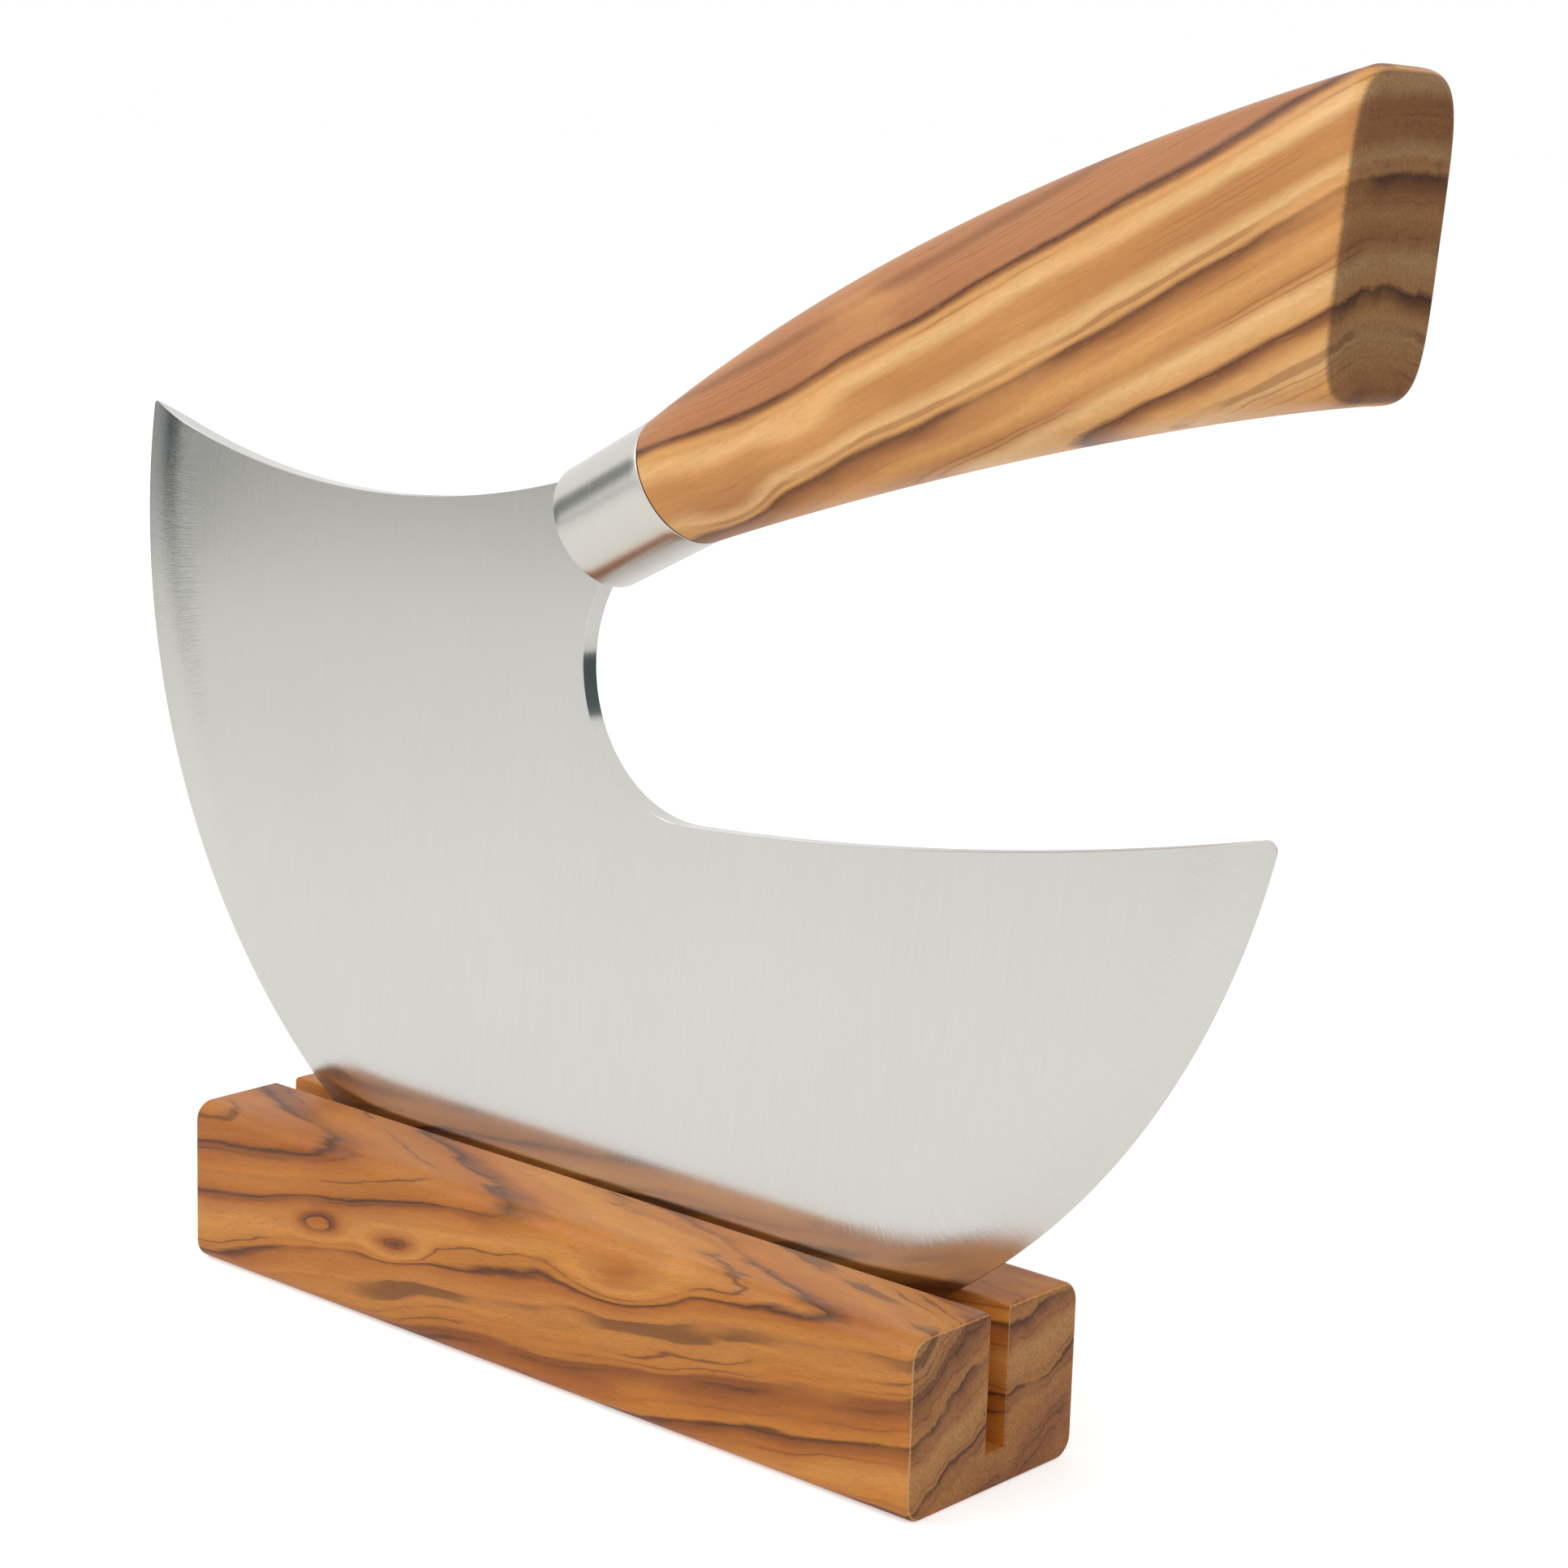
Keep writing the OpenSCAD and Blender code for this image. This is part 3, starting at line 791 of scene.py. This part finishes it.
grip = {
    "start": 19.1 * mm,          # from the ferrule's face
    "buttX": 122.0 * mm,
    "buttZ": 53.1 * mm,
    "buttSlope": 12.5,
    "buttTurn": -3.2,
    "halfHeights": (10.0 * mm, 16.8 * mm, 18.0 * mm, 20.6 * mm),
    "halfThicknesses": (10.0 * mm, 9.6 * mm, 11.9 * mm, 11.8 * mm),
    "gripSquare": 3.0,
    "square": 4.8,
    "rim": 2.2 * mm,
    "leadIn": 51.2 * mm,
    "leadOut": 23 * mm,
    "spigotRadius": 8.4 * mm,
    "spigotFrom": 2.55 * mm,
    "boreRadius": 5.5 * mm,
    "boreTo": 66 * mm,
    "rings": 140,
    "points": 160,
}


def cubic(values, s):
    # curve through the first and last value, drawn towards the two between
    a, b, c, d = (np.asarray(v, dtype=float) for v in values)
    s = s.reshape(-1, *([1] * a.ndim))
    return (1 - s) ** 3 * a + 3 * s * (1 - s) ** 2 * b + 3 * s * s * (1 - s) * c + s ** 3 * d


def ovalRing(middle, turn, high, thick, square):
    # an oval that squares up as the power grows, in a plane turned from upright
    a = np.linspace(0, 2 * np.pi, grip["points"], endpoint=False)
    up = high * np.sign(np.sin(a)) * np.abs(np.sin(a)) ** (2 / square)
    through = thick * np.sign(np.cos(a)) * np.abs(np.cos(a)) ** (2 / square)
    return np.column_stack([middle[0] - up * math.sin(turn), through, middle[1] + up * math.cos(turn)])


def makeHandle(material):
    turnTo = math.radians(grip["buttTurn"])
    buttWay = np.array([math.cos(turnTo), math.sin(turnTo)])
    slope = math.radians(grip["buttSlope"])
    start = neckMiddle + grip["start"] * neckAlong
    loftEnd = np.array([grip["buttX"], grip["buttZ"]]) - grip["rim"] * buttWay
    path = (
        start,
        start + grip["leadIn"] * neckAlong,
        loftEnd - grip["leadOut"] * np.array([math.cos(slope), math.sin(slope)]),
        loftEnd,
    )
    s = np.linspace(0, 1, grip["rings"] + 1)
    middle = cubic(path, s)
    high = cubic(grip["halfHeights"], s)
    thick = cubic(grip["halfThicknesses"], s)
    turn = neckAngle + (turnTo - neckAngle) * s
    square = np.interp(s, (0, 0.5, 1), (2, grip["gripSquare"], grip["square"]))
    rings = []
    endGrain = []

    def roundRing(along, radius):
        a = np.linspace(0, 2 * np.pi, grip["points"], endpoint=False)
        return alongNeck(np.full(len(a), along), radius * np.sin(a), radius * np.cos(a))

    # blind bore, spigot and shoulder, hidden in the ferrule
    for along, radius in ((grip["boreTo"], 0.02 * mm), (grip["boreTo"], grip["boreRadius"]),
                          (grip["spigotFrom"], grip["boreRadius"]),
                          (grip["spigotFrom"], grip["spigotRadius"]),
                          (grip["start"], grip["spigotRadius"])):
        rings.append(roundRing(along, radius))
        endGrain.append(0.0)
    for i in range(len(s)):
        rings.append(ovalRing(middle[i], turn[i], high[i], thick[i], square[i]))
        endGrain.append(0.0)
    # rounded rim and the flat butt
    for angle in np.radians(np.linspace(0, 90, 13))[1:]:
        inset = grip["rim"] * (1 - math.cos(angle))
        rings.append(ovalRing(loftEnd + grip["rim"] * math.sin(angle) * buttWay, turnTo,
                              high[-1] - inset, thick[-1] - inset, grip["square"]))
        endGrain.append(min(1.0, max(0.0, (math.degrees(angle) - 18) / 45)))
    butt = np.array([grip["buttX"], grip["buttZ"]])
    for share in (0.85, 0.6, 0.3, 0.002):
        rings.append(ovalRing(butt, turnTo, (high[-1] - grip["rim"]) * share,
                              (thick[-1] - grip["rim"]) * share, grip["square"]))
        endGrain.append(1.0)
    count = grip["points"]
    points = np.concatenate(rings)
    faces = gridFaces(len(rings), count)
    last = (len(rings) - 1) * count
    faces.append(list(range(count)))
    faces.append([last + i for i in range(count)])
    return newPiece("oliveHandle", inKnife(points), faces, "knife", ["handle"], material, 50,
                    marks={"endGrain": np.repeat(endGrain, count)})


gripGold = srgb(228, 166, 98)
gripPale = srgb(242, 194, 132)
gripTan = srgb(202, 138, 78)
gripBrown = srgb(152, 94, 50)
gripRed = srgb(190, 126, 80)
gripVein = srgb(92, 54, 34)
handleLook = {
    "zero": tuple(part / mm for part in edgeCentre),
    "grainTurn": (0.0, neck["slope"], 0.0),   # the grain follows the tang, not the handle's bend
    "Pith Y": 2.0,
    "Pith Z": -48.0,
    "Swirl": 2.8,
    "Ripple": 0.8,
    "swellings": [
        ((4.0, -6.0, 10.0), (34.0, 20.0, 20.0), -3.6),
        ((78.0, -12.0, -6.0), (34.0, 14.0, 11.0), 1.8),
        ((24.0, -10.0, -2.0), (13.0, 9.0, 5.0), 3.4),
        ((44.0, -9.0, 3.0), (12.0, 9.0, 4.0), 2.2),
    ],
    "range": (-32.0, 22.0),
    "bands": [
        (-32.0, gripRed), (-27.0, gripRed), (-25.4, gripBrown), (-24.4, gripTan), (-22.0, gripGold),
        (-19.0, gripPale), (-16.5, gripGold), (-15.0, gripBrown), (-14.2, gripVein), (-13.7, gripGold),
        (-11.0, gripPale), (-8.6, gripTan), (-6.2, gripGold), (-4.4, gripTan), (-2.8, gripBrown),
        (-2.0, gripVein), (-1.5, gripGold), (0.2, gripPale), (2.0, gripTan), (5.6, gripTan),
        (7.2, gripPale), (9.2, gripGold), (9.9, gripBrown), (10.4, gripVein), (11.0, gripRed),
        (15.0, gripRed), (16.0, gripBrown), (17.0, gripRed), (22.0, gripTan),
    ],
    "ground": gripGold,
    "weakening": 0.45,
    "veinPace": 0.22,
    "veinSeed": 3.1,
    "veinWidth": 0.014,
    "veinStrength": 0.5,
    "veinColour": gripBrown,
    "haloWidth": 0.07,
    "haloStrength": 0.35,
    "haloColour": gripTan,
    "streakStrength": 0.30,
    "fibreStrength": 0.34,
    "poreStrength": 0.25,
    "endTint": (0.33, 0.31, 0.30, 1.0),
    "endSaturation": 1.0,
    "speckStrength": 1.3,
    "wearColour": srgb(150, 108, 68),
    "wearStrength": 0.0,
    "roughness": 0.34,
    "sheen": 0.30,
    "oil": 0.06,
}
makeHandle(oliveWood("handleOlive", handleLook))


# resin in the joint

def makeResin():
    material = bpy.data.materials.new("darkResin")
    material.use_nodes = True
    tree = material.node_tree
    shader = tree.nodes["Principled BSDF"]
    place = scaled(tree, put(tree, "ShaderNodeTexCoord").outputs["Object"], (1 / mm, 1 / mm, 1 / mm))
    dust = noise(tree, place, scale=1.5, detail=3.0)
    colour = blendColour(tree, dust, srgb(34, 26, 20), srgb(58, 44, 32))
    tree.links.new(colour, shader.inputs["Base Color"])
    shader.inputs["Roughness"].default_value = 0.6
    node = frame["nodes"]["tang_resin"]
    node.data.materials.clear()
    node.data.materials.append(material)


makeResin()


# floor, lights and camera

studio = {
    "lens": 80.16,
    "sensor": 36.0,
    "eye": (350.25 * mm, -361.45 * mm, 192.45 * mm),
    "azimuth": -41.278,
    "dip": 11.668,
    "roll": 1.710,
    "floorSize": 12.0,
    "floorColour": srgb(244, 244, 243),
    "floorGlow": 0.50,           # added where the camera sees the floor
    "mirrorGlow": 0.25,          # added where steel mirrors the floor close by
    "mirrorReach": (0.15, 0.90),
    "worldStrength": 0.55,
    "cardColour": srgb(74, 88, 90),
}


def makeFloor():
    half = studio["floorSize"] / 2
    mesh = bpy.data.meshes.new("floor")
    corners = [(-half, -half, 0), (half, -half, 0), (half, half, 0), (-half, half, 0)]
    mesh.from_pydata(corners, [], [(0, 1, 2, 3)])
    material = bpy.data.materials.new("floorPaint")
    material.use_nodes = True
    tree = material.node_tree
    shader = tree.nodes["Principled BSDF"]
    shader.inputs["Base Color"].default_value = studio["floorColour"]
    shader.inputs["Roughness"].default_value = 0.9
    # the camera sees a white floor with the shadow left on it, and steel mirrors a paler patch close by
    path = put(tree, "ShaderNodeLightPath").outputs
    place = put(tree, "ShaderNodeTexCoord").outputs["Object"]
    away = put(tree, "ShaderNodeVectorMath", {0: place}, operation="LENGTH").outputs["Value"]
    closeBy = stepBetween(tree, away, studio["mirrorReach"][1], studio["mirrorReach"][0])
    patch = calc(tree, "MULTIPLY", closeBy, studio["mirrorGlow"])
    mirrored = calc(tree, "MULTIPLY", path["Is Glossy Ray"], patch)
    glow = calc(tree, "MULTIPLY_ADD", path["Is Camera Ray"], studio["floorGlow"], mirrored)
    shader.inputs["Emission Color"].default_value = (1, 1, 1, 1)
    tree.links.new(glow, shader.inputs["Emission Strength"])
    mesh.materials.append(material)
    floor = bpy.data.objects.new("floor", mesh)
    scene.collection.objects.link(floor)


def makeWorld():
    world = bpy.data.worlds.new("studioWorld")
    scene.world = world
    world.use_nodes = True
    tree = world.node_tree
    background = tree.nodes["Background"]
    path = put(tree, "ShaderNodeLightPath").outputs
    seen = calc(tree, "MAXIMUM", path["Is Camera Ray"], path["Is Glossy Ray"])
    strength = calc(tree, "MULTIPLY_ADD", seen, 1.0 - studio["worldStrength"], studio["worldStrength"])
    background.inputs["Color"].default_value = (1, 1, 1, 1)
    tree.links.new(strength, background.inputs["Strength"])


def makeLamp(name, place, aim, size, power):
    lamp = bpy.data.lights.new(name, "AREA")
    lamp.shape = "RECTANGLE"
    lamp.size = size[0]
    lamp.size_y = size[1]
    lamp.energy = power
    holder = bpy.data.objects.new(name, lamp)
    holder.location = place
    way = Vector(aim) - Vector(place)
    holder.rotation_euler = way.to_track_quat("-Z", "Y").to_euler()
    scene.collection.objects.link(holder)


def makeDarkCard(name, place, size):
    # a dark card beside the set, which only the steel mirrors
    half = Vector((size[0] / 2, size[1] / 2))
    mesh = bpy.data.meshes.new(name)
    corners = [(-half.x, 0, -half.y), (half.x, 0, -half.y), (half.x, 0, half.y), (-half.x, 0, half.y)]
    mesh.from_pydata(corners, [], [(0, 1, 2, 3)])
    material = bpy.data.materials.new(name)
    material.use_nodes = True
    material.node_tree.nodes["Principled BSDF"].inputs["Base Color"].default_value = studio["cardColour"]
    mesh.materials.append(material)
    card = bpy.data.objects.new(name, mesh)
    card.location = place
    card.rotation_euler = (0, 0, math.atan2(place[1], place[0]) + math.pi / 2)
    card.visible_camera = False
    card.visible_diffuse = False
    card.visible_shadow = False
    scene.collection.objects.link(card)


def makeCamera():
    camera = bpy.data.cameras.new("camera")
    camera.lens = studio["lens"]
    camera.sensor_width = studio["sensor"]
    camera.clip_start = 0.01
    holder = bpy.data.objects.new("camera", camera)
    a = math.radians(studio["azimuth"])
    e = math.radians(studio["dip"])
    s = math.radians(studio["roll"])
    ahead = Vector((math.sin(a) * math.cos(e), math.cos(a) * math.cos(e), -math.sin(e)))
    right = ahead.cross(Vector((0, 0, 1))).normalized()
    up = right.cross(ahead)
    turnedRight = math.cos(s) * right + math.sin(s) * up
    turnedUp = -math.sin(s) * right + math.cos(s) * up
    pose = Matrix((turnedRight, turnedUp, -ahead)).transposed().to_4x4()
    pose.translation = studio["eye"]
    holder.matrix_world = pose
    scene.collection.objects.link(holder)
    scene.camera = holder


makeFloor()
makeWorld()
makeLamp("keyLamp", (-0.75, -0.9, 1.15), (0.0, 0.0, 0.08), (0.9, 0.9), 9.5)
makeLamp("sideLamp", (1.2, -0.3, 0.7), (0.0, 0.0, 0.08), (0.7, 0.9), 4)
makeDarkCard("leftCard", (-1.08, -0.50, 0.28), (0.42, 0.56))
makeDarkCard("rightCard", (0.33, 0.38, 0.15), (0.50, 0.30))
makeCamera()
print("studio ready")
